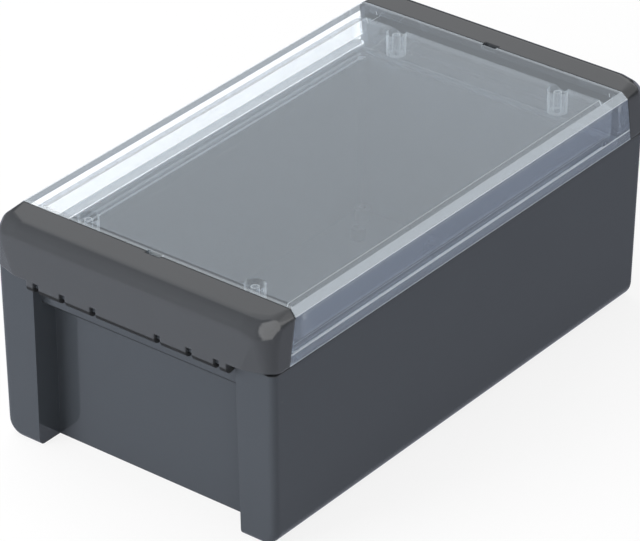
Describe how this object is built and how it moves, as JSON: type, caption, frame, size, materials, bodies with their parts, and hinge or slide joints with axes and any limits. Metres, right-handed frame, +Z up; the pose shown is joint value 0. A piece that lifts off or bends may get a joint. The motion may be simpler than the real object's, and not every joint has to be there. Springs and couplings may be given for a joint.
{
  "type": "plastic project box",
  "caption": "Sealed rectangular plastic enclosure with a clear lid, a deep dark tub on corner posts and a hinged snap closure along each end.",
  "frame": {"origin": "centre of the underside, on the plane the box stands on", "axes": "+Z up through the lid, +Y along the length towards the rear closure, +X across the width"},
  "size_m": [0.125, 0.231, 0.092],
  "materials": {
    "dark_plastic": "smooth satin-gloss moulded polycarbonate, anthracite grey",
    "closure_plastic": "smooth satin-gloss moulded polycarbonate, graphite grey",
    "clear_plastic": "polished clear polycarbonate",
    "seal_rubber": "translucent grey silicone"
  },
  "bodies": {
    "tub": {"base": "dark_plastic"},
    "lid_and_rear_closure": {"lid": "clear_plastic", "lid_seal": "seal_rubber", "rear_closure": "closure_plastic"},
    "closure": {"front_closure": "closure_plastic"}
  },
  "joints": [
    {"name": "lid_hinge", "type": "hinge", "parent": "tub", "child": "lid_and_rear_closure", "pos_m": [0, 0.1128, 0.0703], "axis": [-1, 0, 0], "range_deg": [0, 105]},
    {"name": "front_closure_hinge", "type": "hinge", "parent": "tub", "child": "closure", "pos_m": [0, -0.1128, 0.0703], "axis": [1, 0, 0], "range_deg": [0, 110]}
  ]
}
